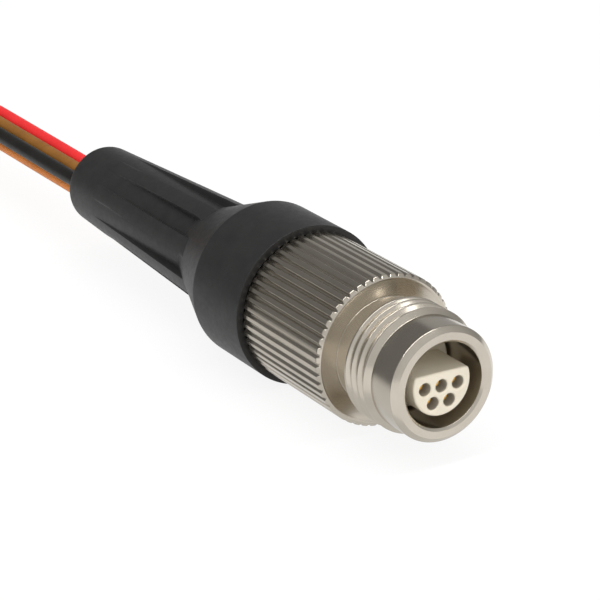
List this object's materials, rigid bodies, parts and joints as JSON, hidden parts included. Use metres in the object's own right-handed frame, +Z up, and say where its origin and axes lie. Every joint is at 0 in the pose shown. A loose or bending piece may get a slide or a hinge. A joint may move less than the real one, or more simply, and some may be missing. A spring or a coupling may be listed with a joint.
{
  "type": "twist-lock circular connector",
  "caption": "Small circular cable connector: a threaded, knurled coupling sleeve turns round a keyed insulator with socket contacts, behind it a fluted rubber boot and a tied hank of leads",
  "frame": {"origin": "on the connector's axis, in the plane where the plain nose ends and the threaded barrel begins", "axes": "+X out of the mating end, +Z up, square to the flat of the D-shaped insulator, +Y to complete a right-handed frame"},
  "size_m": [0.1296, 0.0134, 0.0128],
  "materials": {
    "plated_metal": "satin, warm nickel plate",
    "spring_steel": "plain spring steel",
    "shell_metal": "satin, thin nickel plate",
    "seal_rubber": "moulded, matte",
    "insulator_plastic": "moulded, cream",
    "contact_gold": "gold plate",
    "potting_resin": "cured resin",
    "boot_rubber": "moulded, soft sheen",
    "lead_red": "smooth insulation",
    "lead_brown": "smooth insulation",
    "lead_black": "smooth insulation",
    "lead_orange": "smooth insulation",
    "lead_yellow": "smooth insulation",
    "lead_mix": "the insulations of all the leads together",
    "tie_plastic": "moulded, black"
  },
  "bodies": {
    "connector_body": {"inner_shell": "shell_metal", "thrust_washer": "spring_steel", "bore_seal": "seal_rubber", "insulator": "insulator_plastic", "contact_retainer": "insulator_plastic", "contact_1": "contact_gold", "contact_2": "contact_gold", "contact_3": "contact_gold", "contact_4": "contact_gold", "contact_5": "contact_gold", "potting": "potting_resin", "crimp_ring": "shell_metal", "boot": "boot_rubber", "lead_red": "lead_red", "lead_brown": "lead_brown", "lead_black": "lead_black", "lead_orange": "lead_orange", "lead_yellow": "lead_yellow", "lead_hank": "lead_mix", "hank_tie": "tie_plastic"},
    "coupling": {"coupling_sleeve": "plated_metal", "retaining_ring": "spring_steel"}
  },
  "joints": [
    {"name": "coupling_spin", "type": "hinge", "parent": "connector_body", "child": "coupling", "pos_m": [0, 0, 0], "axis": [1, 0, 0], "continuous": true}
  ]
}
